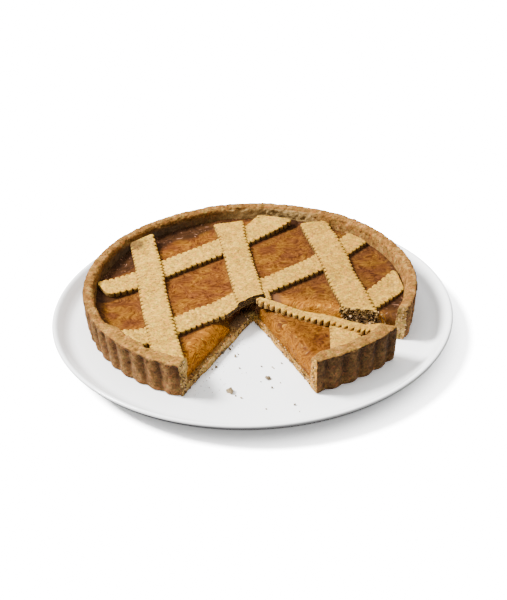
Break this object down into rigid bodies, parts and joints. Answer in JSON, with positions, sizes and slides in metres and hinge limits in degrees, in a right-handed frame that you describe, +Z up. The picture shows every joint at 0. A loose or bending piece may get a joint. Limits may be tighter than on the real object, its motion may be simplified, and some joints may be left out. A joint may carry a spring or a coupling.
{
  "type": "lattice fruit tart on a plate",
  "caption": "Round fluted shortcrust tart with fruit filling and a pinked pastry lattice, a wedge cut out and a loose slice in the gap, on a white plate.",
  "frame": {"origin": "centre of the plate's foot ring, on the surface that the plate stands on", "axes": "+Z up; +X to the right and +Y to the back, as seen by someone who faces the cut-out wedge"},
  "size_m": [0.31, 0.31, 0.0379],
  "materials": {
    "china": "glossy white glaze",
    "crust": "baked wholemeal shortcrust, matt and crumbly",
    "filling": "soft fruit filling, moist and glossy",
    "strip": "pale baked wholemeal shortcrust, matt and grainy"
  },
  "bodies": {
    "root": {"plate": "china", "tart_crust": "crust", "tart_filling": "filling", "strip_h1": "strip", "strip_h2": "strip", "strip_h3": "strip", "strip_v1": "strip", "strip_v2": "strip", "strip_v3": "strip", "strip_offcut": "strip", "slice_crust": "crust", "slice_filling": "filling", "slice_strip_s1": "strip", "slice_strip_s2": "strip"}
  },
  "joints": []
}
